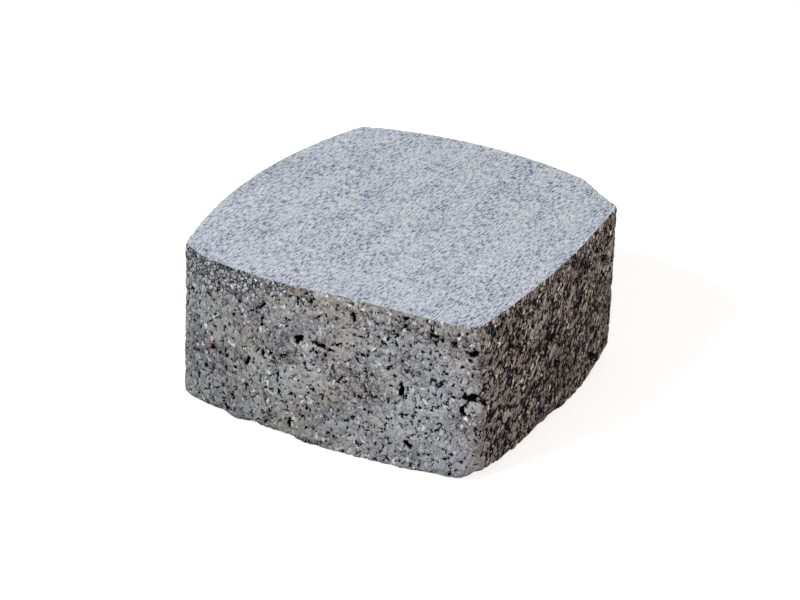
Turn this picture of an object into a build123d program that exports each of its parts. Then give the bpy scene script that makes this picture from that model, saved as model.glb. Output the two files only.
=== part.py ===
from build123d import *
import os

os.makedirs("parts", exist_ok=True)

# A cast concrete paver with a cushion-shaped outline. Lengths are in millimetres.
# It lies on z = 0 with the smooth wearing face on top. X and Y run along its sides, with -Y the front.
thickness = 60.0

# Corners of the wearing face, going round from front left. The back right one is cut off between two points.
front_left = (-52.6, -55.3)
front_right = (55.9, -47.7)
cut_start = (56.6, 46.6)
cut_end = (38.0, 58.2)
back_left = (-47.6, 48.5)

# The front side turns in quickly at the left, swells to a crest and then runs flatter to the right.
front_shoulder = (-45.9, -59.0)
front_crest_start = (-38.6, -60.6)
front_crest_end = (-2.0, -58.6)
front_flat_end = (45.0, -52.0)

# The other three sides are single bowed arcs through these points.
right_bow = (59.5, -0.5)
back_bow = (-5.3, 60.1)
left_bow = (-59.4, -3.0)

# The fresh mix has slumped a little, so the walls lean out toward the bed.
bed_spread = 1.022

# The corners are crisp at the wearing face and rubbed rounder toward the bed.
face_radii = [3.0, 2.5, 3.0, 4.0, 3.0]
bed_radii = [8.0, 9.0, 9.0, 9.0, 7.0]

# The arris round the bed is worn round all the way along.
bed_arris = 4.0

# Voids where the coarse mix did not close. Each is a broken five-sided pit that narrows to its floor.
# The outline is in shares of the width and rise, from a corner at the left going round by the bottom.
void_outline = [(-0.50, 0.05), (-0.20, -0.45), (0.30, -0.50), (0.50, 0.15), (-0.10, 0.50)]
void_floor = 0.45
void_lip = 1.0

# Each void: bearing from the middle and tilt in degrees, height above the bed, width, rise and depth.
front_voids = [
    (-95.1, 10.0, 40.8, 4.4, 3.0, 3.2),
    (-88.6, 25.0, 40.0, 4.0, 2.0, 2.6),
    (-84.7, 10.0, 39.4, 4.0, 2.6, 2.8),
    (-111.6, 5.0, 27.8, 2.4, 4.2, 2.6),
    (-106.7, -5.0, 32.2, 1.8, 5.2, 2.2),
    (-97.6, 0.0, 8.5, 1.8, 4.6, 2.2),
    (-76.6, -10.0, 53.4, 1.8, 4.6, 2.2),
    (-60.0, 5.0, 30.5, 2.4, 6.6, 2.9),
    (-57.7, 40.0, 11.0, 4.0, 2.8, 2.6),
]
corner_voids = [
    (-41.9, -16.0, 34.4, 10.0, 3.2, 3.9),
    (-44.3, 0.0, 29.8, 3.0, 3.6, 2.8),
    (-37.5, 10.0, 30.2, 2.2, 5.6, 2.8),
    (-41.8, -27.0, 50.0, 4.6, 2.4, 2.6),
]
right_voids = [
    (-27.9, 17.0, 44.0, 2.8, 4.2, 2.8),
    (-15.7, -19.0, 16.8, 5.0, 2.0, 2.6),
    (-2.7, 12.0, 35.0, 5.6, 4.0, 3.4),
    (-0.3, 0.0, 24.0, 3.8, 3.0, 3.0),
    (-3.5, -5.0, 12.2, 2.2, 4.8, 2.6),
    (27.0, 12.0, 10.0, 8.0, 4.8, 3.0),
]


def outline(spread, radii):
    def spread_out(point):
        return (point[0] * spread, point[1] * spread)

    corners = [spread_out(corner) for corner in (front_left, front_right, cut_start, cut_end, back_left)]
    with BuildSketch() as sketch:
        with BuildLine():
            shoulder = ThreePointArc(corners[0], spread_out(front_shoulder), spread_out(front_crest_start))
            crest = TangentArc(shoulder @ 1, spread_out(front_crest_end), tangent=shoulder % 1)
            flat = TangentArc(crest @ 1, spread_out(front_flat_end), tangent=crest % 1)
            TangentArc(flat @ 1, corners[1], tangent=flat % 1)
            ThreePointArc(corners[1], spread_out(right_bow), corners[2])
            Line(corners[2], corners[3])
            ThreePointArc(corners[3], spread_out(back_bow), corners[4])
            ThreePointArc(corners[4], spread_out(left_bow), corners[0])
        make_face()
        for corner, radius in zip(corners, radii):
            nearest = sketch.vertices().sort_by_distance(corner)[0]
            fillet(nearest, radius=radius)
    return sketch.sketch


def wall_plane(stone, bearing, tilt, height):
    """The plane that touches the wall where a level line at this bearing leaves the stone."""
    heading = Vector(1, 0, 0).rotate(Axis.Z, bearing)
    point, normal = stone.find_intersection_points(Axis((0, 0, height), heading))[-1]
    if normal.dot(heading) < 0:
        normal = -normal
    touching = Plane(origin=point, x_dir=Vector(0, 0, 1).cross(normal), z_dir=normal)
    return touching.rotated((0, 0, -tilt))


with BuildPart() as concrete_paver:
    with BuildSketch(Plane.XY):
        add(outline(bed_spread, bed_radii))
    with BuildSketch(Plane.XY.offset(thickness)):
        add(outline(1.0, face_radii))
    loft(ruled=True)
    bed = concrete_paver.faces().sort_by(Axis.Z)[0]
    fillet(bed.edges(), radius=bed_arris)
    walls = concrete_paver.part
    for bearing, tilt, height, width, rise, depth in front_voids + corner_voids + right_voids:
        mouth = wall_plane(walls, bearing, tilt, height)
        with BuildSketch(mouth.offset(void_lip)):
            Polygon(*[(x * width, y * rise) for x, y in void_outline], align=None)
        with BuildSketch(mouth.offset(-depth)):
            Polygon(*[(x * width * void_floor, y * rise * void_floor) for x, y in void_outline], align=None)
        loft(ruled=True, mode=Mode.SUBTRACT)

concrete_paver.part.label = "concrete_paver"
export_step(concrete_paver.part, "parts/concrete_paver.step")
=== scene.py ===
import math

import bpy
import numpy as np
from mathutils import Matrix, Vector
from mathutils.bvhtree import BVHTree
from mathutils.geometry import delaunay_2d_cdt


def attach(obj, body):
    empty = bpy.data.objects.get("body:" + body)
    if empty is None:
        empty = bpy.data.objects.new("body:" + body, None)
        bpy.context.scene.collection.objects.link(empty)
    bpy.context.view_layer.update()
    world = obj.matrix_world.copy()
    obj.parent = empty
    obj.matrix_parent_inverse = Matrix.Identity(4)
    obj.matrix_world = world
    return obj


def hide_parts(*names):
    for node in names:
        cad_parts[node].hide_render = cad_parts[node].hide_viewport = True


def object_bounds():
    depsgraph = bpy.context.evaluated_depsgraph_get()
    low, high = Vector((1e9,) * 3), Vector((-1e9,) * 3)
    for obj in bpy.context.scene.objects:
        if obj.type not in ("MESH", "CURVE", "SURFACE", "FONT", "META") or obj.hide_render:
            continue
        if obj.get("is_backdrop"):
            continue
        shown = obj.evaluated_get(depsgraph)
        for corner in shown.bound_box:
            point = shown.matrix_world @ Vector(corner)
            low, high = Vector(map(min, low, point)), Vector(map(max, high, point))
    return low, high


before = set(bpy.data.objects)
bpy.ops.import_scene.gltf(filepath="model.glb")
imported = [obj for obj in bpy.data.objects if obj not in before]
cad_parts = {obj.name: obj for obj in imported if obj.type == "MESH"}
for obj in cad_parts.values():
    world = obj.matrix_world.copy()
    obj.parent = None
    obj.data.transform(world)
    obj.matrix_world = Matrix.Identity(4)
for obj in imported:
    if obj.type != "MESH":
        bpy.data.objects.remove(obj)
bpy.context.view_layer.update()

# Lengths below are in millimetres in the shared frame, and go to metres only in the mesh.
MM = 0.001
THICKNESS = 60.0

# Corners of the wearing face. The back right one is cut off between two points.
FRONT_LEFT_CORNER = (-52.6, -55.3)
FRONT_RIGHT_CORNER = (55.9, -47.7)
CUT_START_CORNER = (56.6, 46.6)
CUT_END_CORNER = (38.0, 58.2)
BACK_LEFT_CORNER = (-47.6, 48.5)

# How many points of the mesh go round the wall and down it.
COLUMNS = 780
ROWS = 112

# Points on the wearing face and the bed: how far apart, and in shares of that how clear of the edge and how
# uneven.
FILL_SPACING = 1.8
FILL_CLEAR = 0.55
FILL_JITTER = 0.12
rng = np.random.default_rng(60120)

# The wall's outline is measured on the CAD solid, just under the wearing face and just above the bed's arris, by
# rays that start outside it and run to the middle.
UPPER_LEVEL = 59.9
LOWER_LEVEL = 5.0
TURN_STEPS = 3000
RAY_START = 150.0
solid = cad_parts["concrete_paver"].data
tree = BVHTree.FromPolygons([v.co for v in solid.vertices], [list(p.vertices) for p in solid.polygons])


def reach(angle, height):
    """How far the wall is from the middle in this direction, at this height."""
    out = Vector((math.cos(angle), math.sin(angle), 0.0))
    start = out * (RAY_START * MM)
    start.z = height * MM
    hit = tree.ray_cast(start, -out)[0]
    return math.hypot(hit.x, hit.y) / MM


def along(points):
    """Length run from the first point to each one."""
    steps = np.linalg.norm(np.diff(points, axis=0), axis=1)
    return np.concatenate([[0.0], np.cumsum(steps)])


START_ANGLE = math.atan2(FRONT_LEFT_CORNER[1], FRONT_LEFT_CORNER[0])
fine = START_ANGLE + np.linspace(0, 2 * math.pi, TURN_STEPS + 1)
fine_reach = np.array([reach(a, UPPER_LEVEL) for a in fine])
fine_run = along(np.stack([fine_reach * np.cos(fine), fine_reach * np.sin(fine)], 1))
ROUND = float(fine_run[-1])
run = np.arange(COLUMNS) * ROUND / COLUMNS
angles = np.interp(run, fine_run, fine)
face_reach = np.interp(angles, fine, fine_reach)
low_reach = np.array([reach(a, LOWER_LEVEL) for a in angles])
bed_reach = face_reach + (low_reach - face_reach) * THICKNESS / (UPPER_LEVEL - LOWER_LEVEL)
heading = np.stack([np.cos(angles), np.sin(angles)], 1)


def run_toward(angle):
    """Where this direction from the middle meets the outline, along the run from the front left corner."""
    while angle < START_ANGLE:
        angle += 2 * math.pi
    return float(np.interp(angle, fine, fine_run))


def run_at(corner):
    """Where a corner lies along the run."""
    return run_toward(math.atan2(corner[1], corner[0]))


def short_way(places, middle):
    """How far each place of the run is from the middle one, the short way round."""
    return (places - middle + ROUND / 2) % ROUND - ROUND / 2


FRONT_RIGHT = run_at(FRONT_RIGHT_CORNER)
CUT_START = run_at(CUT_START_CORNER)
CUT_END = run_at(CUT_END_CORNER)
BACK_LEFT = run_at(BACK_LEFT_CORNER)


# Fields over the sides, drawn as one long strip: run along it, and depth down from the wearing face.
CELL = 0.25
ACROSS = int(round(ROUND / CELL))
DEEP = 64.0
DOWN = int(round(DEEP / CELL))
strip_run = (np.arange(ACROSS) + 0.5) * ROUND / ACROSS
strip_depth = (np.arange(DOWN) + 0.5) * CELL


def cloud(size, shape=None, seed=0):
    """Smooth random field of unit spread, with blobs about this size, that wraps round."""
    rows, columns = shape or (DOWN, ACROSS)
    noise = np.random.default_rng(seed).standard_normal((rows, columns))
    fy = np.fft.fftfreq(rows, CELL)[:, None]
    fx = np.fft.rfftfreq(columns, CELL)[None, :]
    keep = np.exp(-2 * (math.pi * size / 3) ** 2 * (fx * fx + fy * fy))
    field = np.fft.irfft2(np.fft.rfft2(noise) * keep, s=(rows, columns))
    return field / field.std()


def ripple(size, seed):
    """Smooth random values along the run alone."""
    return cloud(size, (1, ACROSS), seed)[0]


def ease(x, low, high):
    """Smooth step from 0 at low to 1 at high."""
    t = np.clip((x - low) / (high - low), 0, 1)
    return t * t * (3 - 2 * t)


def profile(points, places):
    """Values between points, each a place along the run and the value there."""
    known, values = zip(*points)
    return np.interp(places, known, values)


# Depth of the fine facing mix along the run. It is thickest at the front left corner and runs out from there.
ragged = cloud(1.3, seed=9)
facing_depth = profile([
    (0, 12.5), (18, 9.0), (36, 5.0), (48, 2.0), (FRONT_RIGHT, 1.5), (FRONT_RIGHT + 40, 3.0),
    (CUT_START, 5.0), (BACK_LEFT, 4.0), (BACK_LEFT + 60, 6.0), (ROUND, 12.5),
], strip_run)
facing_depth = facing_depth + 1.1 * ripple(6.0, 11)
facing = 1 - ease(strip_depth[:, None] - facing_depth[None, :] + 0.5 * ragged, -0.6, 0.6)

# How open and loose the mix is. The front has pressed patches, and the right side is loose all over.
side_loose = profile([
    (0, 0.50), (20, 0.36), (60, 0.36), (84, 0.50), (104, 0.62), (FRONT_RIGHT, 0.85), (FRONT_RIGHT + 12, 0.95),
    (CUT_START - 4, 0.90), (CUT_END + 10, 0.60), (BACK_LEFT, 0.50), (ROUND, 0.50),
], strip_run)
loose = np.clip(side_loose[None, :] + 0.16 * cloud(8.0, seed=21) + 0.08 * cloud(3.0, seed=22), 0.05, 1.15)

# The front is pressed smooth in a narrow band under the wearing face.
BAND_PRESSED = 0.8
band = (1 - ease(strip_depth, 2.5, 5.0))[:, None] * ease(strip_run, 40, 56)
band = band * (1 - ease(strip_run, FRONT_RIGHT - 6, FRONT_RIGHT + 4))
loose = loose * (1 - BAND_PRESSED * band)
facing = facing * (1 - BAND_PRESSED * band)

# The voids: bearing from the middle and tilt in degrees, height above the bed, width, rise and depth.
# The first three lists stand where the solid has its own voids, and the last is of smaller ones.
FRONT_VOIDS = [
    (-95.1, 10, 40.8, 4.2, 2.8, 3.2), (-88.6, 25, 40.0, 3.8, 1.6, 2.6), (-84.7, 10, 39.4, 3.8, 2.3, 2.8),
    (-111.6, 5, 27.8, 2.0, 3.8, 2.6), (-106.7, -5, 32.2, 1.3, 4.8, 2.2), (-97.6, 0, 8.5, 1.3, 4.3, 2.2),
    (-76.6, -10, 53.4, 1.3, 4.4, 2.2), (-60.0, 5, 30.5, 2.0, 6.4, 2.9), (-57.7, 40, 11.0, 3.6, 2.4, 2.6),
]
CORNER_VOIDS = [
    (-41.9, -12, 34.8, 10.4, 2.1, 3.9), (-44.3, 0, 29.8, 2.2, 2.8, 2.8), (-37.5, 10, 30.2, 1.8, 5.4, 2.8),
    (-41.8, -27, 50.0, 4.2, 2.0, 2.6),
]
RIGHT_VOIDS = [
    (-27.9, 17, 44.0, 2.6, 4.0, 2.8), (-15.7, -19, 16.8, 4.6, 1.7, 2.6), (-2.7, 12, 35.0, 5.2, 3.8, 3.4),
    (-0.3, 0, 24.0, 3.6, 2.8, 3.0), (-3.5, -5, 12.2, 2.0, 4.6, 2.6), (27.0, 35, 10.0, 7.2, 3.8, 1.8),
]
SMALL_VOIDS = [
    (-107.0, 29, 50.0, 1.2, 4.2, 2.2), (-101.8, 0, 24.0, 1.2, 4.6, 2.3), (-121.9, 0, 28.3, 2.4, 2.0, 2.4),
    (-91.4, 0, 56.0, 1.4, 3.4, 2.2), (-60.0, -45, 54.5, 3.0, 1.3, 2.2), (-46.6, -60, 53.3, 3.6, 1.2, 2.4),
    (-51.5, -6, 54.0, 5.0, 1.2, 2.0), (-59.4, -30, 57.6, 3.0, 1.3, 2.2), (9.3, 12, 56.0, 2.0, 3.6, 2.6),
]
VOID_RAGGED = 0.25
voids = np.zeros((DOWN, ACROSS))
for bearing, tilt, at_height, wide, high, deep in FRONT_VOIDS + CORNER_VOIDS + RIGHT_VOIDS + SMALL_VOIDS:
    turn = math.radians(tilt)
    x = short_way(strip_run, run_toward(math.radians(bearing)))
    near = np.abs(x) < wide + high
    x = x[near][None, :]
    y = strip_depth[:, None] - (THICKNESS - at_height)
    u = (x * math.cos(turn) + y * math.sin(turn)) / (wide / 2)
    v = (-x * math.sin(turn) + y * math.cos(turn)) / (high / 2)
    rho = np.sqrt(u * u + v * v) + VOID_RAGGED * ragged[:, near]
    voids[:, near] = np.maximum(voids[:, near], deep * (1 - ease(rho, 0.6, 1.2)))

# A large grain stands out of the corner between three of the voids, with a narrow gap round it.
BLOCK_BEARING = -41.0
BLOCK_HEIGHT = 30.6
BLOCK_HALF_WIDTH = 3.7
BLOCK_HALF_RISE = 2.5
BLOCK_SLANT = 0.12
BLOCK_GAP = 2.4
BLOCK_PROUD = 0.7
x = strip_run[None, :] - run_toward(math.radians(BLOCK_BEARING))
y = strip_depth[:, None] - (THICKNESS - BLOCK_HEIGHT)
rho = np.sqrt((x / BLOCK_HALF_WIDTH) ** 2 + ((y + BLOCK_SLANT * x) / BLOCK_HALF_RISE) ** 2) + 0.10 * ragged
block = 1 - ease(rho, 0.80, 1.0)
block_gap = BLOCK_GAP * np.exp(-(((rho - 1.16) / 0.15) ** 2))
voids = np.maximum(voids * ease(rho, 0.85, 1.0), block_gap)
loose = loose * (1 - 0.7 * block)


def sample(field, at_run, at_depth):
    """Value of the strip at each point, between its cells."""
    x = at_run / ROUND * ACROSS - 0.5
    y = np.clip(at_depth / CELL - 0.5, 0, DOWN - 1.001)
    j, i = np.floor(x).astype(int), np.floor(y).astype(int)
    fx, fy = x - j, y - i
    j0, j1 = j % ACROSS, (j + 1) % ACROSS
    upper = field[i, j0] * (1 - fx) + field[i, j1] * fx
    lower = field[i + 1, j0] * (1 - fx) + field[i + 1, j1] * fx
    return upper * (1 - fy) + lower * fy


# How far the bed's arris is worn round, along the run.
WEAR_LEAST = 1.0
WEAR_MOST = 14.0
WEAR_UNEVEN = 0.32
wear = profile([
    (0, 3.6), (4, 3.4), (9, 4.8), (14, 6.8), (22, 7.6), (27, 7.8), (34, 6.2), (40, 5.7), (44, 4.6), (49, 2.2),
    (53, 1.2), (86, 1.2), (91, 1.7), (95, 4.1), (100, 5.0), (105, 5.2), (FRONT_RIGHT + 1, 7.0),
    (FRONT_RIGHT + 6, 5.2), (FRONT_RIGHT + 14, 4.4), (FRONT_RIGHT + 22, 4.2), (FRONT_RIGHT + 31, 5.5),
    (FRONT_RIGHT + 44, 5.4), (FRONT_RIGHT + 53, 3.2), (FRONT_RIGHT + 58, 2.1), (FRONT_RIGHT + 75, 2.1),
    (CUT_START - 11, 5.2), (CUT_START - 3, 7.2), (CUT_START + 6, 5.0), (CUT_END, 5.0), (CUT_END + 40, 3.0),
    (BACK_LEFT, 5.0), (BACK_LEFT + 50, 3.5), (ROUND, 3.6),
], run)
wobble = 0.30 * ripple(9.0, 41) + 0.45 * ripple(4.0, 42)
wear = np.clip(wear * (1 + WEAR_UNEVEN * np.interp(run, strip_run, wobble)), WEAR_LEAST, WEAR_MOST)

# It is smoothed over a few columns to both sides.
SMOOTH_COLUMNS = 8
SMOOTH_WIDTH = 3.5
smooth = np.exp(-((np.arange(-SMOOTH_COLUMNS, SMOOTH_COLUMNS + 1) / SMOOTH_WIDTH) ** 2))
wrapped = np.concatenate([wear[-SMOOTH_COLUMNS:], wear, wear[:SMOOTH_COLUMNS]])
wear = np.convolve(wrapped, smooth / smooth.sum(), "valid")


def near_run(middle, reach_out):
    """1 at a place of the run, falling to 0 on both sides of it."""
    return np.exp(-((np.abs(short_way(run, middle)) / reach_out) ** 2))


# The cast walls stand a little proud of the solid at two corners, and along the bed under the front.
proud = 0.3 * near_run(0.0, 6.0) + 0.5 * near_run(CUT_START, 6.0)
proud_bed = 0.8 * near_run(70.0, 17.0)

# Points of the sides: rows go down the wall, round the arris and end on the bed.
share = np.linspace(0, 1, ROWS + 1)[:, None]
length = (THICKNESS - wear) + wear * math.pi / 2
depth = share * length[None, :]
wall = np.minimum(depth, (THICKNESS - wear)[None, :])
bend = np.clip((depth - wall) / wear[None, :], 0, math.pi / 2)
drop = wall / THICKNESS
inset = wear[None, :] * (1 - np.cos(bend))
base_reach = face_reach[None] * (1 - drop) + bed_reach[None] * drop - inset
base_reach = base_reach + proud[None] + proud_bed[None] * ease(drop, 0.5, 0.95)
side = np.empty((ROWS + 1, COLUMNS, 3))
side[..., :2] = heading[None] * base_reach[..., None]
side[..., 2] = THICKNESS - wall - wear[None, :] * np.sin(bend)
flow = np.roll(side, -1, 1) - np.roll(side, 1, 1)
fall = np.gradient(side, axis=0)
side_normal = np.cross(fall, flow)
side_normal /= np.linalg.norm(side_normal, axis=2)[..., None]

# Where each of these points reads the strip.
strip_at = depth * THICKNESS / length[None, :]
run_grid = np.broadcast_to(run[None, :], depth.shape)


# The wearing face and the bed, filled inside their edges.
def filled(ring):
    """Even points inside a closed ring, with the triangles that join them to it."""
    low, high = ring.min(0), ring.max(0)
    rows = np.arange(low[1], high[1], FILL_SPACING * math.sqrt(3) / 2)
    points = []
    for index, y in enumerate(rows):
        xs = np.arange(low[0] + (index % 2) * FILL_SPACING / 2, high[0], FILL_SPACING)
        points.append(np.stack([xs, np.full(len(xs), y)], 1))
    points = np.concatenate(points)
    points += rng.uniform(-FILL_JITTER, FILL_JITTER, points.shape) * FILL_SPACING
    angle = np.arctan2(points[:, 1], points[:, 0])
    ring_angle = np.arctan2(ring[:, 1], ring[:, 0])
    order = np.argsort(ring_angle)
    limit = np.interp(angle, ring_angle[order], np.hypot(*ring[order].T), period=2 * math.pi)
    points = points[np.hypot(*points.T) < limit - FILL_SPACING * FILL_CLEAR]
    every = [Vector(p) for p in np.concatenate([ring, points])]
    count = len(ring)
    edges = [(i, (i + 1) % count) for i in range(count)]
    found, _, faces, origin, _, _ = delaunay_2d_cdt(every, edges, [], 1, 1e-5)
    if len(found) != len(every):
        raise ValueError("the fill dropped or added points")
    place = [o[0] for o in origin]
    return points, [tuple(place[i] for i in face) for face in faces]


# The wearing face and the bed start flat.
top_points, top_faces = filled(side[0, :, :2])
bed_points, bed_faces = filled(side[-1, :, :2])
vertices = np.concatenate([
    side.reshape(-1, 3),
    np.column_stack([top_points, np.full(len(top_points), THICKNESS)]),
    np.column_stack([bed_points, np.zeros(len(bed_points))]),
])
top_start = (ROWS + 1) * COLUMNS
bed_start = top_start + len(top_points)

# One closed mesh.
i, j = np.meshgrid(np.arange(ROWS), np.arange(COLUMNS), indexing="ij")
a = i * COLUMNS + j
b = i * COLUMNS + (j + 1) % COLUMNS
c = (i + 1) * COLUMNS + (j + 1) % COLUMNS
d = (i + 1) * COLUMNS + j
even = (i + j) % 2 == 0
first = np.where(even[..., None], np.stack([a, d, c], 2), np.stack([a, d, b], 2))
second = np.where(even[..., None], np.stack([a, c, b], 2), np.stack([b, d, c], 2))
side_faces = np.concatenate([first.reshape(-1, 3), second.reshape(-1, 3)])


def placed(faces, ring_start, inner_start, up):
    """Faces of a fill, in the mesh's own numbers and turned to face up or down."""
    faces = np.array(faces)
    faces = np.where(faces < COLUMNS, faces + ring_start, faces - COLUMNS + inner_start)
    p, q, r = (vertices[faces[:, k], :2] for k in range(3))
    area = (q[:, 0] - p[:, 0]) * (r[:, 1] - p[:, 1]) - (q[:, 1] - p[:, 1]) * (r[:, 0] - p[:, 0])
    wrong = (area > 0) != up
    faces[wrong] = faces[wrong][:, ::-1]
    return faces


top_tris = placed(top_faces, 0, top_start, True)
bed_tris = placed(bed_faces, ROWS * COLUMNS, bed_start, False)
triangles = np.concatenate([side_faces, top_tris, bed_tris])

mesh = bpy.data.meshes.new("paver_stone")
mesh.vertices.add(len(vertices))
mesh.vertices.foreach_set("co", (vertices * MM).astype(np.float32).ravel())
mesh.loops.add(len(triangles) * 3)
mesh.loops.foreach_set("vertex_index", triangles.astype(np.int32).ravel())
mesh.polygons.add(len(triangles))
mesh.polygons.foreach_set("loop_start", np.arange(0, len(triangles) * 3, 3, dtype=np.int32))
mesh.polygons.foreach_set("loop_total", np.full(len(triangles), 3, np.int32))
slots = np.zeros(len(triangles), np.int32)
slots[len(side_faces):len(side_faces) + len(top_tris)] = 1
mesh.polygons.foreach_set("material_index", slots)
mesh.update(calc_edges=True)
mesh.validate()


def give(name, values, kind="FLOAT", key="value"):
    """Stores one number, or one vector, for each vertex."""
    attribute = mesh.attributes.new(name, kind, "POINT")
    attribute.data.foreach_set(key, np.asarray(values, np.float32).ravel())


# Side of the square, in cells, that the fields over the wearing face and the bed are drawn on.
SQUARE = 560


def flat_field(size, seed, points):
    """Random field over a square round the middle, read at level points."""
    field = cloud(size, (SQUARE, SQUARE), seed)
    column, row = ((points.T + SQUARE * CELL / 2) / CELL).astype(int)
    return field[row, column]


def on_sides(field, bed=0.0):
    """The strip's value at every vertex, with 0 on the wearing face and a value of its own on the bed."""
    sides = sample(field, run_grid, strip_at).ravel()
    return np.concatenate([sides, np.zeros(len(top_points)), np.broadcast_to(bed, len(bed_points))])


# The bed is rough and open like the sides.
bed_loose = 0.55 + 0.18 * flat_field(8.0, 71, bed_points) + 0.08 * flat_field(3.0, 72, bed_points)
bed_void = 2.4 * ease(flat_field(2.6, 73, bed_points), 1.7, 2.3)
give("rest", vertices, "FLOAT_VECTOR", "vector")
give("loose", on_sides(loose, np.clip(bed_loose, 0.1, 1.1)))
give("fines", on_sides(facing))
give("void", on_sides(voids, bed_void))

# On the right side and the cut corner the grains are drawn out upward. The change is hidden in a ragged edge.
edge_run = strip_run[None, :] + 2.2 * cloud(2.6, seed=33)
drawn = ease(edge_run, FRONT_RIGHT + 3, FRONT_RIGHT + 3.4) * (1 - ease(edge_run, CUT_END, CUT_END + 0.4))
give("drawn", on_sides(drawn))

# Painted warm light: the right side is tinted browner.
painted_warm_light = ease(strip_run, FRONT_RIGHT - 3, FRONT_RIGHT + 14) * (1 - ease(strip_run, CUT_END + 5, CUT_END + 30))
give("painted_warm_light", on_sides(np.broadcast_to(painted_warm_light, (DOWN, ACROSS))))

# Rusty specks on the front and a stain low on the right.
# Each has a place along the run, a height above the bed, a reach along and up, and a strength.
RUST = [
    (46.6, 59.0, 1.4, 0.8, 0.9), (14.2, 28.6, 1.0, 0.9, 0.8), (16.6, 27.2, 0.7, 0.6, 0.8),
    (30.8, 41.8, 0.7, 0.7, 0.8), (27.2, 39.8, 0.6, 0.6, 0.8), (24.4, 52.6, 1.6, 0.6, 0.4),
    (172.0, 4.0, 8.0, 3.5, 0.5), (163.0, 2.0, 5.0, 2.5, 0.4), (181.0, 7.0, 3.0, 5.0, 0.3),
]
rust = np.zeros((DOWN, ACROSS))
for at_run, at_height, wide, high, strength in RUST:
    x = (strip_run[None, :] - at_run) / wide
    y = (strip_depth[:, None] - THICKNESS + at_height) / high
    rust = np.maximum(rust, strength * np.exp(-(x * x + y * y)))
give("rust", on_sides(rust))

# The sides grow darker toward the bed.
darker_to_bed = ease(strip_depth, 12.0, 60.0)[:, None] * (0.85 + 0.25 * cloud(7.0, seed=35))
give("darker_to_bed", on_sides(np.clip(darker_to_bed, 0, 1)))

# Painted light: a pale bluish patch lies over the front's right third, and on the large grain in the corner.
painted_light = profile([
    (0, 0.15), (66, 0.15), (82, 0.7), (98, 0.85), (106, 0.55), (FRONT_RIGHT + 2, 0), (ROUND, 0.15),
], strip_run)
painted_light = np.clip(painted_light[None, :] + 0.25 * cloud(9.0, seed=31), 0, 1) * ease(strip_depth, 3.0, 14.0)[:, None]
give("painted_light", on_sides(np.maximum(painted_light, block)))


class Nodes:
    """Short calls for building a node tree: a material's, a mesh's or the world's."""

    def __init__(self, tree):
        self.tree = tree

    def add(self, kind, **values):
        """A new node with these settings."""
        node = self.tree.nodes.new(kind)
        for key, value in values.items():
            setattr(node, key, value)
        return node

    def plug(self, source, target):
        """Links an output, or writes a plain value, to an input."""
        if isinstance(source, bpy.types.NodeSocket):
            self.tree.links.new(source, target)
        else:
            target.default_value = source

    def fill(self, node, **inputs):
        """Plugs inputs by their names, with an underscore for each space."""
        for key, value in inputs.items():
            self.plug(value, node.inputs[key.replace("_", " ")])
        return node

    def math(self, operation, first, second=0.0, third=0.0):
        """Number worked out from up to three others."""
        node = self.add("ShaderNodeMath", operation=operation)
        for socket, item in zip(node.inputs, (first, second, third)):
            self.plug(item, socket)
        return node.outputs[0]

    def blend(self, factor, first, second):
        """Number between two numbers."""
        node = self.add("ShaderNodeMix", data_type="FLOAT")
        for socket, item in zip(node.inputs[:1] + node.inputs[2:4], (factor, first, second)):
            self.plug(item, socket)
        return node.outputs[0]

    def mix(self, factor, first, second, blend="MIX"):
        """Colour between two colours."""
        node = self.add("ShaderNodeMix", data_type="RGBA", blend_type=blend)
        for socket, item in zip((node.inputs[0], node.inputs[6], node.inputs[7]), (factor, first, second)):
            self.plug(item, socket)
        return node.outputs[2]

    def ramp(self, factor, stops):
        """Colour along a row of stops, each a position and a colour."""
        node = self.add("ShaderNodeValToRGB")
        elements = node.color_ramp.elements
        while len(elements) < len(stops):
            elements.new(0.5)
        for element, (position, shade) in zip(elements, stops):
            element.position = position
            element.color = shade
        self.plug(factor, node.inputs[0])
        return node.outputs[0]

    def span(self, factor, low, high, to_low=0.0, to_high=1.0, smooth=True):
        """Takes one range of numbers to another and holds the ends."""
        node = self.add("ShaderNodeMapRange", interpolation_type="SMOOTHSTEP" if smooth else "LINEAR")
        self.fill(node, Value=factor, From_Min=low, From_Max=high, To_Min=to_low, To_Max=to_high)
        return node.outputs[0]

    def vector(self, operation, first, second=(0.0, 0.0, 0.0)):
        """Vector worked out from up to two others."""
        node = self.add("ShaderNodeVectorMath", operation=operation)
        self.plug(first, node.inputs[0])
        self.plug(second, node.inputs[1])
        return node.outputs[0]

    def noise(self, vector, scale, detail=2.0, rough=0.5, shift=(0.0, 0.0, 0.0), output=0):
        """Cloudy noise: output 0 is a number and output 1 a colour."""
        node = self.add("ShaderNodeTexNoise")
        place = self.vector("ADD", self.vector("MULTIPLY", vector, (scale, scale, scale)), shift)
        self.fill(node, Vector=place, Scale=1.0, Detail=detail, Roughness=rough)
        return node.outputs[output]

    def cells(self, vector, scale, shift=(0.0, 0.0, 0.0)):
        """Three random numbers for each cell, how far a point is from its wall, and its tilted face."""
        place = self.vector("ADD", self.vector("MULTIPLY", vector, (scale, scale, scale)), shift)
        near = self.add("ShaderNodeTexVoronoi", feature="F1")
        self.fill(near, Vector=place, Scale=1.0, Randomness=1.0)
        edge = self.add("ShaderNodeTexVoronoi", feature="DISTANCE_TO_EDGE")
        self.fill(edge, Vector=place, Scale=1.0, Randomness=1.0)
        parts = self.add("ShaderNodeSeparateXYZ")
        self.plug(near.outputs["Color"], parts.inputs[0])
        tilt = self.add("ShaderNodeVectorMath", operation="DOT_PRODUCT")
        self.plug(self.vector("SUBTRACT", near.outputs["Color"], (0.5, 0.5, 0.5)), tilt.inputs[0])
        self.plug(self.vector("SUBTRACT", place, near.outputs["Position"]), tilt.inputs[1])
        return list(parts.outputs) + [edge.outputs["Distance"], tilt.outputs["Value"]]


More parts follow.
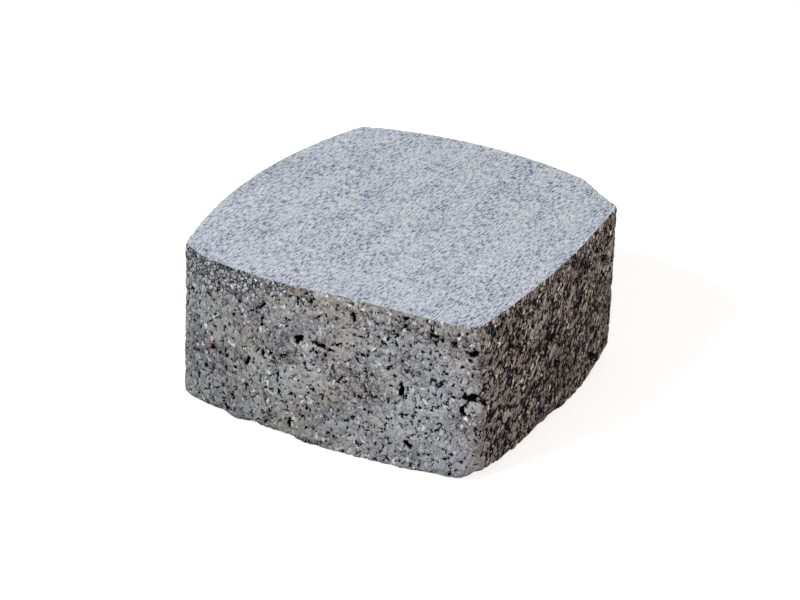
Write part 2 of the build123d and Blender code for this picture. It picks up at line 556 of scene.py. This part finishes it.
# Cells to the millimetre for the four sizes of grain. In the names below, a is for stones, b for grains, c for
# grit and d for chips.
STONES = 0.21
GRAINS = 0.40
GRIT = 0.80
CHIPS = 1.7


def grain(n, place, loose, fines, void, drawn):
    """The core at a place in millimetres: form, fine height, tone and gaps. Mesh and material share it."""
    # The right side's grains are larger, drawn out upward and lean away.
    parts = n.add("ShaderNodeSeparateXYZ")
    n.plug(place, parts.inputs[0])
    x, y, z = parts.outputs
    usual = n.vector("MULTIPLY", place, (1.0, 1.0, 0.85))
    lean = n.add("ShaderNodeCombineXYZ")
    n.plug(n.math("MULTIPLY", x, 0.8), lean.inputs[0])
    n.plug(n.math("MULTIPLY", n.math("MULTIPLY_ADD", z, -0.35, y), 0.8), lean.inputs[1])
    n.plug(n.math("MULTIPLY", z, 0.52), lean.inputs[2])
    drawn = n.math("GREATER_THAN", drawn, 0.5)
    place = n.vector("ADD", usual, n.vector("MULTIPLY", n.vector("SUBTRACT", lean.outputs[0], usual), drawn))
    broad = n.vector("SUBTRACT", n.noise(place, 0.33, 2.0, 0.5, output=1), (0.5, 0.5, 0.5))
    tight = n.vector("SUBTRACT", n.noise(place, 1.2, 1.0, 0.5, output=1), (0.5, 0.5, 0.5))
    bent = n.vector("ADD", place, n.vector("MULTIPLY", broad, (3.0, 3.0, 3.0)))
    tight = n.vector("MULTIPLY", tight, n.math("MULTIPLY_ADD", fines, -0.75, 1.1))
    bent = n.vector("ADD", bent, tight)
    a1, a2, a3, a_edge, a_tilt = n.cells(bent, STONES)
    b1, b2, b3, b_edge, b_tilt = n.cells(bent, GRAINS, (9.0, 4.0, 2.0))
    c1, c2, c3, c_edge, c_tilt = n.cells(bent, GRIT, (3.0, 8.0, 5.0))
    _, d2, d3, _, d_tilt = n.cells(place, CHIPS, (1.0, 6.0, 3.0))

    # Rough zones show single grains. Between them the paste is pressed flush.
    zone = n.math("MULTIPLY_ADD", loose, 0.42, n.noise(place, 0.52, 3.0, 0.6, (21.0, 3.0, 8.0)))
    rough = n.math("MAXIMUM", n.span(zone, 0.59, 0.67), fines)
    paste = n.math("SUBTRACT", 1.0, rough)

    # Which size of grain shows here.
    core = n.math("LESS_THAN", fines, 0.5)
    is_a = n.math("MULTIPLY", n.math("GREATER_THAN", a1, n.math("MULTIPLY_ADD", drawn, 0.07, 0.88)), core)
    not_a = n.math("SUBTRACT", 1.0, is_a)
    share = n.span(loose, 0.5, 0.9, 0.58, 0.35, False)
    is_b = n.math("MULTIPLY", n.math("MULTIPLY", n.math("GREATER_THAN", b1, share), core), not_a)
    not_b = n.math("MULTIPLY", n.math("SUBTRACT", 1.0, is_b), not_a)

    # Short crevices hook round the cells, and small pits lie between them.
    gate = n.math("MULTIPLY_ADD", drawn, 0.10, n.noise(place, 0.62, 2.0, 0.55, (2.0, 7.0, 1.0)))
    gate = n.span(gate, 0.575, 0.60)
    line = n.math("MAXIMUM", n.span(b_edge, 0.075, 0.12, 1.0, 0.0), n.span(a_edge, 0.04, 0.065, 1.0, 0.0))
    trough = n.math("MULTIPLY", n.span(b_edge, 0.04, 0.24, 1.0, 0.0), gate)
    crevice = n.math("MULTIPLY", line, gate)
    gate = n.math("MULTIPLY_ADD", drawn, 0.10, n.noise(place, 0.85, 2.0, 0.6, (8.0, 1.0, 6.0)))
    short = n.math("MULTIPLY", n.span(c_edge, 0.09, 0.15, 1.0, 0.0), n.span(gate, 0.65, 0.675))
    crevice = n.math("MAXIMUM", crevice, short)
    pit = n.math("MULTIPLY_ADD", loose, 0.05, n.noise(bent, 0.85, 2.0, 0.5, (5.0, 31.0, 12.0)))
    pit = n.math("MULTIPLY", n.span(pit, 0.705, 0.725), core)
    crevice = n.math("MAXIMUM", n.math("MULTIPLY", crevice, core), pit)

    # The form in millimetres, for the mesh: every grain over 2 mm has its own level and tilt.
    fall = n.span(loose, 0.3, 0.9, 1.0, 0.4, False)
    a_high = n.math("MULTIPLY_ADD", a_tilt, 0.8, n.math("MULTIPLY", a2, -0.20))
    a_high = n.math("MULTIPLY_ADD", n.span(a_edge, 0.0, 0.12, 1.0, 0.0), -0.6, a_high)
    b_high = n.math("MULTIPLY_ADD", b_tilt, 0.9, n.math("MULTIPLY_ADD", b2, -0.45, -0.05))
    b_high = n.math("MULTIPLY_ADD", n.span(b_edge, 0.0, 0.20, 1.0, 0.0), -0.30, b_high)
    form = n.math("MULTIPLY", n.blend(is_a, b_high, a_high), fall)
    form = n.blend(n.math("MULTIPLY", paste, 0.70), form, -0.10)
    form = n.math("MULTIPLY_ADD", n.math("MULTIPLY", n.math("MULTIPLY", trough, core), fall), -0.75, form)
    form = n.math("MULTIPLY_ADD", pit, -1.1, form)
    form = n.math("MINIMUM", form, n.math("MULTIPLY", void, -1.0))

    # The fine height in millimetres, for the material: tilted faces of the small grains and their gaps.
    c_high = n.math("MULTIPLY_ADD", c_tilt, 1.45, n.math("MULTIPLY", c2, -0.40))
    c_high = n.math("MULTIPLY", c_high, n.math("MAXIMUM", not_b, n.math("MULTIPLY", not_a, 0.35)))
    c_high = n.math("MULTIPLY_ADD", n.math("MULTIPLY", b_tilt, is_b), 1.4, c_high)
    d_high = n.math("MULTIPLY", d_tilt, 0.28)
    flat = n.math("MULTIPLY_ADD", paste, -0.65, 1.0)
    fine = n.math("MULTIPLY", n.math("ADD", c_high, d_high), flat)
    fine = n.math("MULTIPLY_ADD", crevice, -0.35, fine)

    # Tone of each grain, from dark to bright, with chips of a finer size over it.
    a_tone = n.span(a3, 0.0, 1.0, 0.50, 0.64, False)
    b_tone = n.span(b3, 0.0, 1.0, 0.42, 0.70, False)
    c_tone = n.span(c3, 0.0, 1.0, 0.34, 0.84, False)
    tone = n.blend(is_a, n.blend(is_b, c_tone, b_tone), a_tone)
    cloudy = n.span(n.noise(place, 0.85, 3.0, 0.7, (3.0, 13.0, 21.0)), 0.30, 0.66, 0.45, 0.66, False)
    tone = n.blend(n.math("MULTIPLY", paste, 0.80), tone, cloudy)
    tone = n.blend(n.math("MULTIPLY", fines, 0.9), tone, n.span(c3, 0.0, 1.0, 0.36, 0.92, False))
    even = n.math("MULTIPLY", n.math("MAXIMUM", is_b, fines), 0.6)
    even = n.math("MAXIMUM", n.math("MAXIMUM", is_a, paste), even)
    chip = n.math("MULTIPLY", n.math("SUBTRACT", d3, 0.5), n.span(even, 0.0, 1.0, 0.28, 0.10, False))
    tone = n.math("ADD", tone, chip)
    facet = n.math("MULTIPLY", n.math("GREATER_THAN", c1, 0.91), n.span(c_edge, 0.04, 0.08))
    facet = n.math("MULTIPLY", facet, not_a)
    tone = n.math("MULTIPLY_ADD", facet, 0.30, tone)
    tone = n.math("MULTIPLY_ADD", n.math("GREATER_THAN", d2, 0.98), 0.18, tone)

    # Painted shade darkens the lows between the grains and the edges of the larger grains.
    low = n.math("MULTIPLY", n.span(c_edge, 0.0, 0.34, 1.0, 0.0), n.math("MULTIPLY_ADD", paste, -0.6, 1.0))
    tone = n.math("MULTIPLY_ADD", low, -0.16, tone)
    tone = n.math("MULTIPLY_ADD", n.span(b_edge, 0.0, 0.30, 1.0, 0.0), -0.07, tone)

    # Painted shade: thin dark gaps round the single grains, with the crevices, pits and facing gaps, stronger on
    # the right side and the cut corner.
    gap_shade_b = n.math("MULTIPLY", n.span(b_edge, 0.03, 0.08, 1.0, 0.0), is_b)
    gap_shade_c = n.math("MULTIPLY", n.span(c_edge, 0.05, 0.12, 1.0, 0.0), not_b)
    gap_shade = n.math("MAXIMUM", gap_shade_b, gap_shade_c)
    weak = n.noise(place, 0.6, 2.0, 0.6, (12.0, 17.0, 4.0))
    weak = n.math("MAXIMUM", n.span(n.math("MULTIPLY_ADD", loose, 0.25, weak), 0.60, 0.70), fines)
    gap_shade = n.math("MULTIPLY", n.math("MULTIPLY", gap_shade, weak), rough)
    gap_shade = n.math("MULTIPLY", gap_shade, n.math("MULTIPLY_ADD", drawn, 0.60, 0.34))
    open_gap = n.span(n.noise(place, 0.9, 2.0, 0.6, (6.0, 2.0, 15.0)), 0.40, 0.52)
    gap = n.math("MULTIPLY", n.span(c_edge, 0.09, 0.17, 1.0, 0.0), n.math("MULTIPLY", fines, open_gap))
    gap_shade = n.math("MAXIMUM", n.math("MAXIMUM", gap_shade, n.math("MULTIPLY", gap, 0.85)), crevice)
    fine = n.math("MULTIPLY_ADD", gap, -0.30, fine)
    return {"form": form, "fine": fine, "tone": tone, "gap_shade": gap_shade, "paste": paste}


def solve_heights():
    """Runs the grain tree over the mesh and gives back one height for each vertex."""
    tree = bpy.data.node_groups.new("grain_heights", "GeometryNodeTree")
    tree.interface.new_socket("Geometry", in_out="INPUT", socket_type="NodeSocketGeometry")
    tree.interface.new_socket("Geometry", in_out="OUTPUT", socket_type="NodeSocketGeometry")
    n = Nodes(tree)
    enter = n.add("NodeGroupInput")
    leave = n.add("NodeGroupOutput")
    read = []
    for name in ("rest", "loose", "fines", "void", "drawn"):
        kind = "FLOAT_VECTOR" if name == "rest" else "FLOAT"
        node = n.add("GeometryNodeInputNamedAttribute", data_type=kind)
        node.inputs[0].default_value = name
        read.append(next(o for o in node.outputs if o.enabled))
    fields = grain(n, *read)
    store = n.add("GeometryNodeStoreNamedAttribute", data_type="FLOAT", domain="POINT")
    store.inputs["Name"].default_value = "height"
    n.plug(enter.outputs[0], store.inputs["Geometry"])
    n.plug(fields["form"], next(i for i in store.inputs if i.name == "Value" and i.enabled))
    n.plug(store.outputs[0], leave.inputs[0])
    holder = bpy.data.objects.new("heights", mesh)
    bpy.context.scene.collection.objects.link(holder)
    holder.modifiers.new("heights", "NODES").node_group = tree
    solved = holder.evaluated_get(bpy.context.evaluated_depsgraph_get()).data
    heights = np.empty(len(solved.vertices), np.float32)
    solved.attributes["height"].data.foreach_get("value", heights)
    bpy.data.objects.remove(holder)
    bpy.data.node_groups.remove(tree)
    return heights.astype(float)


heights = solve_heights()

# The relief is the grain's form, held between its deepest pit and its flush level and lifted a little.
DEEPEST = -4.2
LIFT = 0.35
relief = np.clip(heights[:top_start].reshape(ROWS + 1, COLUMNS), DEEPEST, 0.0) + LIFT
relief = relief + BLOCK_PROUD * sample(block, run_grid, strip_at)

# The wearing face keeps a crisp edge with small nicks.
EDGE_DEPTH = 1.3
NICK_LEAST = 0.10
NICK_MORE = 0.12
edge_hold = ease(depth, 0.0, EDGE_DEPTH)
nick = -NICK_LEAST - NICK_MORE * np.clip(np.interp(run, strip_run, ripple(2.2, 51)), 0, 2.5)
relief = relief * edge_hold + nick[None, :] * (1 - edge_hold)
side = side + side_normal * relief[..., None]
side[0, :, 2] = THICKNESS
side[..., 2] = np.clip(side[..., 2], 0.0, THICKNESS)

# The wearing face swells by a few hundredths inside its edge, and the bed is hollowed and lies on the floor.
FACE_DROP = 0.05
BED_DEEPEST = 3.0
swell = flat_field(14.0, 61, top_points)
grit = flat_field(1.6, 62, top_points)
vertices[:top_start] = side.reshape(-1, 3)
vertices[top_start:bed_start, 2] = np.minimum(THICKNESS - FACE_DROP + 0.02 * swell + 0.015 * grit, THICKNESS)
vertices[bed_start:, 2] = np.clip(-heights[bed_start:], 0.0, BED_DEEPEST)
mesh.vertices.foreach_set("co", (vertices * MM).astype(np.float32).ravel())
mesh.update()
mesh.shade_smooth()

# The crisp edge round the wearing face.
ends = np.empty(len(mesh.edges) * 2, np.int32)
mesh.edges.foreach_get("vertices", ends)
ends = ends.reshape(-1, 2)
on_rim = (ends < COLUMNS).all(1)
sharp = mesh.attributes.new("sharp_edge", "BOOLEAN", "EDGE")
sharp.data.foreach_set("value", on_rim)

# A map in millimetres on a square sheet: the side strip in two halves, and under it the wearing face and the
# bed.
SHEET = 256.0
STRIP_LEFT = 3.0
STRIP_TOP = 2.0
STRIP_TALL = 62.0
STRIP_PITCH = 64.0
FACE_MIDDLE = (63.5, 63.0)
BED_MIDDLE = (189.0, 63.0)
corner = triangles.ravel()
uv = np.zeros((len(corner), 2))
side_corners = len(side_faces) * 3
top_corners = side_corners + len(top_tris) * 3
half_way = COLUMNS // 2
column = (corner[:side_corners] % COLUMNS).reshape(-1, 3)
row = (corner[:side_corners] // COLUMNS).reshape(-1, 3)
wraps = column.max(1) - column.min(1) > half_way
column = np.where(wraps[:, None] & (column < half_way), column + COLUMNS, column)
second_half = (column.min(1) >= half_way)[:, None]
across_map = (column - np.where(second_half, half_way, 0)) * ROUND / COLUMNS
down_map = row * STRIP_TALL / ROWS + np.where(second_half, STRIP_PITCH, 0)
uv[:side_corners, 0] = (STRIP_LEFT + across_map).ravel()
uv[:side_corners, 1] = (SHEET - STRIP_TOP - down_map).ravel()
uv[side_corners:top_corners] = vertices[corner[side_corners:top_corners], :2] + FACE_MIDDLE
uv[top_corners:] = vertices[corner[top_corners:], :2] + BED_MIDDLE
layer = mesh.uv_layers.new(name="OFBake")
layer.data.foreach_set("uv", (uv / SHEET).astype(np.float32).ravel())

stone = bpy.data.objects.new("paver_stone", mesh)
bpy.context.scene.collection.objects.link(stone)


# Materials.
def colour(red, green, blue):
    """A named colour, as it looks on a screen, for a shader socket."""
    def line(v):
        v = v / 255
        return v / 12.92 if v <= 0.04045 else ((v + 0.055) / 1.055) ** 2.4
    return (line(red), line(green), line(blue), 1.0)


def material(name):
    """A new material and the calls to fill its tree."""
    made = bpy.data.materials.new(name)
    made.use_nodes = True
    made.node_tree.nodes.clear()
    return made, Nodes(made.node_tree)


def finish_material(n, body, height, strength, distance, roughness, specular):
    """The material's surface, with its fine height as bump."""
    bump = n.add("ShaderNodeBump")
    n.fill(bump, Height=height, Strength=strength, Distance=distance)
    skin = n.add("ShaderNodeBsdfPrincipled")
    n.fill(skin, Base_Color=body, Normal=bump.outputs[0], Roughness=roughness)
    skin.inputs["Specular IOR Level"].default_value = specular
    out = n.add("ShaderNodeOutputMaterial")
    n.plug(skin.outputs[0], out.inputs[0])


def attribute(n, name, output="Fac"):
    """What the mesh stores under this name."""
    return n.add("ShaderNodeAttribute", attribute_name=name).outputs[output]


def tinted(n, factor, body, tint):
    """The colour multiplied by a tint, as far as the factor says."""
    return n.mix(factor, body, n.mix(1.0, body, tint, "MULTIPLY"))


GRANITE_SHADES = [
    (0.675, colour(58, 75, 100)),
    (0.745, colour(108, 122, 144)),
    (0.81, colour(156, 165, 179)),
    (0.865, colour(179, 186, 194)),
    (0.98, colour(206, 214, 224)),
]
BUFF = colour(203, 193, 188)
PALE_BLUE = colour(176, 197, 220)
YELLOW_FLECK = colour(214, 178, 126)

# The flecks are drawn out across the face, on a grain turned by a few degrees.
FLECK_STRETCH = (1.55, 0.38, 1.0)
FLECK_TURN = math.radians(4)


def granite_face():
    """The wearing face: pale blue-grey with slate and buff flecks, ground fine."""
    made, n = material("granite_face")
    spin = n.add("ShaderNodeMapping", vector_type="POINT")
    n.fill(spin, Vector=attribute(n, "rest", "Vector"), Rotation=(0.0, 0.0, FLECK_TURN))
    place = n.vector("MULTIPLY", spin.outputs[0], FLECK_STRETCH)
    flecks = n.noise(place, 1.0, 2.0, 0.55)
    finer = n.noise(place, 2.3, 2.0, 0.6, (7.0, 3.0, 1.0))
    patches = n.noise(place, 0.16, 2.0, 0.6, (1.0, 3.0, 1.0))
    level = n.math("MULTIPLY_ADD", finer, 0.72, n.math("MULTIPLY", flecks, 0.74))
    level = n.math("MULTIPLY_ADD", patches, 0.22, level)
    body = n.ramp(level, GRANITE_SHADES)
    hue = n.noise(place, 0.9, 2.0, 0.6, (31.0, 11.0, 5.0))
    pale = n.span(level, 0.73, 0.81)
    buff = n.math("MULTIPLY", n.span(hue, 0.53, 0.62), n.math("MULTIPLY", pale, 0.8))
    body = n.mix(buff, body, BUFF)
    blue = n.math("MULTIPLY", n.span(hue, 0.47, 0.38), n.math("MULTIPLY", pale, 0.7))
    body = n.mix(blue, body, PALE_BLUE)
    chance = n.cells(place, 0.16, (13.0, 5.0, 2.0))[0]
    dot = n.noise(place, 0.8, 1.0, 0.5, (4.0, 14.0, 2.0))
    lone = n.math("MULTIPLY", n.span(dot, 0.72, 0.75), n.math("GREATER_THAN", chance, 0.55))
    body = n.mix(n.math("MULTIPLY", lone, 0.8), body, YELLOW_FLECK)
    roughness = n.span(level, 0.62, 0.97, 0.72, 0.58, False)
    finish_material(n, body, level, 0.30, 0.12 * MM, roughness, 0.3)
    return made


CONCRETE_SHADES = [
    (0.06, colour(46, 48, 55)),
    (0.29, colour(106, 107, 114)),
    (0.49, colour(154, 154, 156)),
    (0.69, colour(190, 192, 196)),
    (0.94, colour(238, 241, 247)),
]
PASTE_TINT = colour(254, 255, 244)
PAINTED_WARM_LIGHT_TINT = colour(255, 244, 230)
RUST_BROWN = colour(158, 104, 72)
DARKER_TO_BED_TINT = colour(222, 222, 225)
PAINTED_LIGHT_BLUE = colour(214, 220, 232)
DEEP_SHADE_DARK = colour(22, 22, 26)
GAP_SHADE_DARK = colour(13, 14, 22)
VOID_SHADE_DARK = colour(8, 8, 12)

# How far the sand in the cement changes the tone and, in millimetres, the height.
SAND_TONE = 0.44
SAND_HEIGHT = 0.22


def porous_concrete():
    """The core: grey grains in cement, with dark open pores, finer and harder in the facing mix."""
    made, n = material("porous_concrete")
    place = attribute(n, "rest", "Vector")
    loose, fines, void, drawn = (attribute(n, name) for name in ("loose", "fines", "void", "drawn"))
    core = grain(n, place, loose, fines, void, drawn)
    sand = n.math("SUBTRACT", n.noise(place, 2.2, 3.0, 0.7, (5.0, 2.0, 9.0)), 0.5)
    level = n.math("MULTIPLY_ADD", sand, SAND_TONE, core["tone"])
    body = n.ramp(level, CONCRETE_SHADES)
    body = tinted(n, core["paste"], body, PASTE_TINT)
    # Painted warm light: a brown tint on the right side.
    body = tinted(n, attribute(n, "painted_warm_light"), body, PAINTED_WARM_LIGHT_TINT)
    body = n.mix(attribute(n, "rust"), body, RUST_BROWN)
    # The sides darker toward the bed.
    body = tinted(n, attribute(n, "darker_to_bed"), body, DARKER_TO_BED_TINT)
    # Painted light over the front's right third and the large corner grain.
    body = n.mix(n.math("MULTIPLY", attribute(n, "painted_light"), 0.36), body, PAINTED_LIGHT_BLUE)
    # Painted shade in the deepest hollows of the form.
    body = n.mix(n.span(core["form"], -2.2, -1.1, 0.9, 0.0), body, DEEP_SHADE_DARK)
    # Painted shade in the gaps, crevices and pits between the grains.
    body = n.mix(core["gap_shade"], body, GAP_SHADE_DARK)
    # Painted shade inside the voids.
    body = n.mix(n.span(void, 0.7, 1.5), body, VOID_SHADE_DARK)
    height = n.math("MULTIPLY_ADD", sand, SAND_HEIGHT, core["fine"])
    finish_material(n, body, height, 1.0, MM, n.span(level, 0.2, 0.9, 0.95, 0.75, False), 0.06)
    return made


mesh.materials.append(porous_concrete())
mesh.materials.append(granite_face())
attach(stone, "root")
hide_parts("concrete_paver")


# Floor, light and camera.
FLOOR_GREY = (0.50, 0.50, 0.50, 1)
FLOOR_GLOW = 0.72
FLOOR_HALF = 6.0


def floor_material():
    """A pale floor that looks nearly white to the camera and still takes the stone's shadow."""
    made, n = material("pale_floor")
    diffuse = n.add("ShaderNodeBsdfDiffuse")
    diffuse.inputs[0].default_value = FLOOR_GREY
    glow = n.add("ShaderNodeEmission")
    path = n.add("ShaderNodeLightPath")
    seen = n.math("MAXIMUM", path.outputs["Is Camera Ray"], path.outputs["Is Glossy Ray"])
    seen = n.math("MAXIMUM", seen, path.outputs["Is Transmission Ray"])
    n.plug(n.math("MULTIPLY", seen, FLOOR_GLOW), glow.inputs["Strength"])
    both = n.add("ShaderNodeAddShader")
    n.plug(diffuse.outputs[0], both.inputs[0])
    n.plug(glow.outputs[0], both.inputs[1])
    out = n.add("ShaderNodeOutputMaterial")
    n.plug(both.outputs[0], out.inputs[0])
    return made


floor_mesh = bpy.data.meshes.new("floor")
square = [(-1, -1), (1, -1), (1, 1), (-1, 1)]
floor_mesh.from_pydata([(x * FLOOR_HALF, y * FLOOR_HALF, 0) for x, y in square], [], [(0, 1, 2, 3)])
floor_mesh.materials.append(floor_material())
floor = bpy.data.objects.new("floor", floor_mesh)
bpy.context.scene.collection.objects.link(floor)
floor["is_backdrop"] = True

world = bpy.data.worlds.new("studio")
bpy.context.scene.world = world
world.use_nodes = True
world.node_tree.nodes.clear()
n = Nodes(world.node_tree)
dome = n.fill(n.add("ShaderNodeBackground"), Color=(1.0, 0.95, 0.90, 1), Strength=0.17)
white = n.fill(n.add("ShaderNodeBackground"), Color=(1, 1, 1, 1), Strength=1.0)
path = n.add("ShaderNodeLightPath")
seen = n.math("MAXIMUM", path.outputs["Is Camera Ray"], path.outputs["Is Glossy Ray"])
choose = n.add("ShaderNodeMixShader")
for socket, source in zip(choose.inputs, (seen, dome.outputs[0], white.outputs[0])):
    n.plug(source, socket)
output = n.add("ShaderNodeOutputWorld")
n.plug(choose.outputs[0], output.inputs[0])

AIMED_AT = (0, 0, 0.03)


def lamp(name, place, size, power, tint):
    """A soft area light aimed at the stone, in metres and watts."""
    data = bpy.data.lights.new(name, "AREA")
    data.shape = "DISK"
    data.size = size
    data.energy = power
    data.color = tint
    item = bpy.data.objects.new(name, data)
    item.location = place
    item.rotation_mode = "QUATERNION"
    item.rotation_quaternion = (Vector(AIMED_AT) - Vector(place)).to_track_quat("-Z", "Y")
    bpy.context.scene.collection.objects.link(item)


lamp("key", (-0.62, -1.22, 1.22), 0.40, 26.8, (0.96, 0.98, 1.0))
lamp("top", (-0.1, 0.35, 1.7), 1.0, 3.7, (0.94, 0.98, 1.0))
lamp("fill", (1.25, -0.35, 0.75), 0.5, 12.2, (1.0, 0.84, 0.73))

# The photo's camera, worked out from the stone's corners and upright edges. Its turns are in degrees.
CAMERA_AT = (368.84, -645.0, 482.08)
CAMERA_TURN = 29.864
CAMERA_TILT = 58.5
CAMERA_ROLL = 2.0
camera_data = bpy.data.cameras.new("camera")
camera_data.sensor_width = 36.0
camera_data.lens = 112.5
camera_data.clip_start = 0.01
camera_data.clip_end = 20.0
camera = bpy.data.objects.new("camera", camera_data)
bpy.context.scene.collection.objects.link(camera)
aim = Matrix.Identity(4)
for degrees, axis in ((CAMERA_TURN, "Z"), (CAMERA_TILT, "X"), (CAMERA_ROLL, "Z")):
    aim = aim @ Matrix.Rotation(math.radians(degrees), 4, axis)
camera.matrix_world = Matrix.Translation(Vector(CAMERA_AT) * MM) @ aim
bpy.context.scene.camera = camera
bpy.context.scene.view_settings.view_transform = "Standard"

bpy.context.view_layer.update()
low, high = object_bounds()
